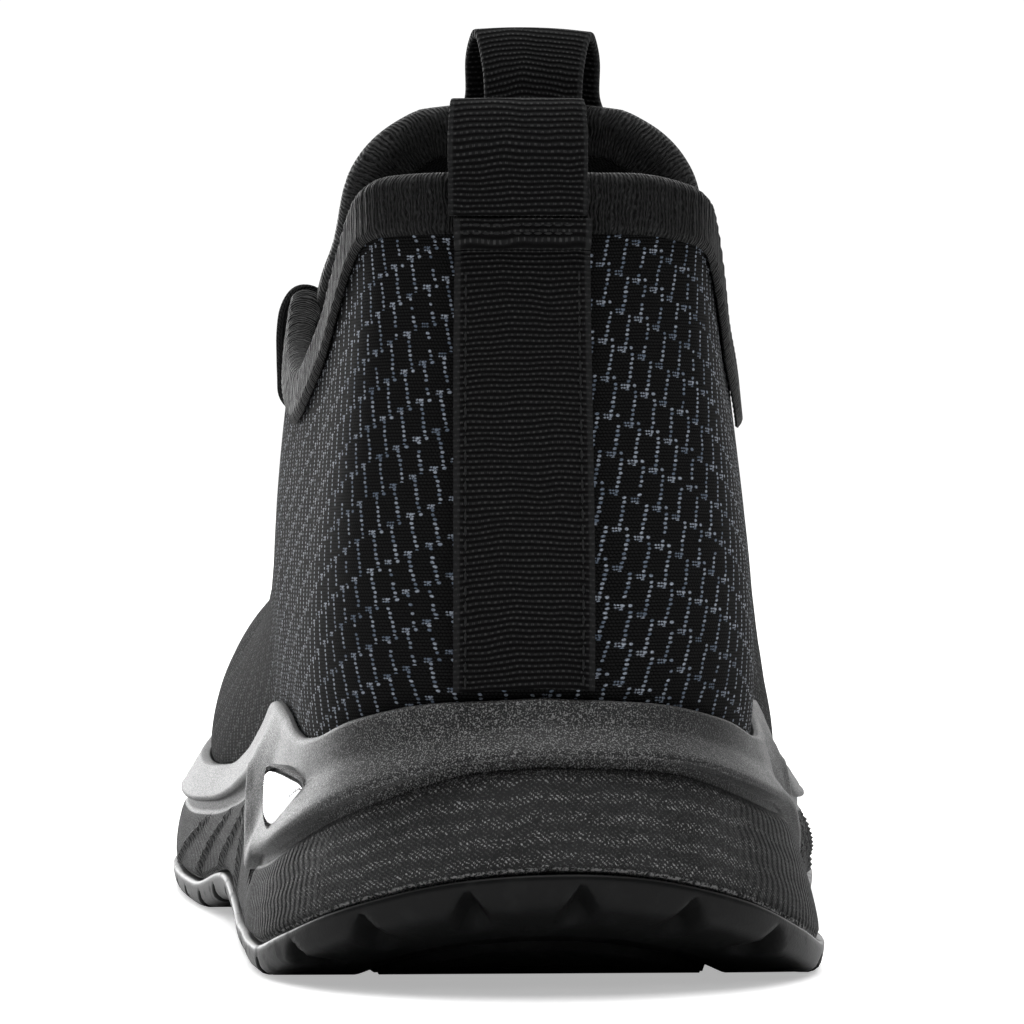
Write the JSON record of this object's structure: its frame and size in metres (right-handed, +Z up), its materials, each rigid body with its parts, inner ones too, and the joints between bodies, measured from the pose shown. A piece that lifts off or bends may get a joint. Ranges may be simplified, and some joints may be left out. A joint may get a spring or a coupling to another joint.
{
  "type": "work shoe",
  "caption": "Low black work shoe for the right foot with a knitted upper, pull loops at heel and tongue, laces and a thick patterned sole with a fin on each flank of the heel.",
  "frame": {"origin": "middle of the outline's box on the ground, under the arch", "axes": "+Z up, +Y from the heel to the toe, +X to the outer side of the right foot"},
  "size_m": [0.1142, 0.304, 0.1467],
  "materials": {
    "outsole_rubber": "moulded, matt",
    "midsole_foam": "fine blasted grain",
    "badge_metal": "polished",
    "knit": "knitted, with a grey-blue stitch pattern",
    "lining_mesh": "spacer mesh",
    "binding_satin": "ribbed satin",
    "eyestay_film": "matt film",
    "lace_cord": "flat braid",
    "webbing": "grosgrain"
  },
  "bodies": {
    "root": {"outsole": "outsole_rubber", "midsole": "midsole_foam", "badge": "badge_metal", "insole": "lining_mesh", "upper": "knit", "collar_binding": "binding_satin", "tongue": "lining_mesh", "eyestay_inner": "eyestay_film", "eyestay_outer": "eyestay_film", "tongue_binding": "binding_satin", "lace": "lace_cord", "heel_strap": "webbing", "heel_pull_loop": "webbing", "tongue_pull_loop": "webbing"}
  },
  "joints": []
}
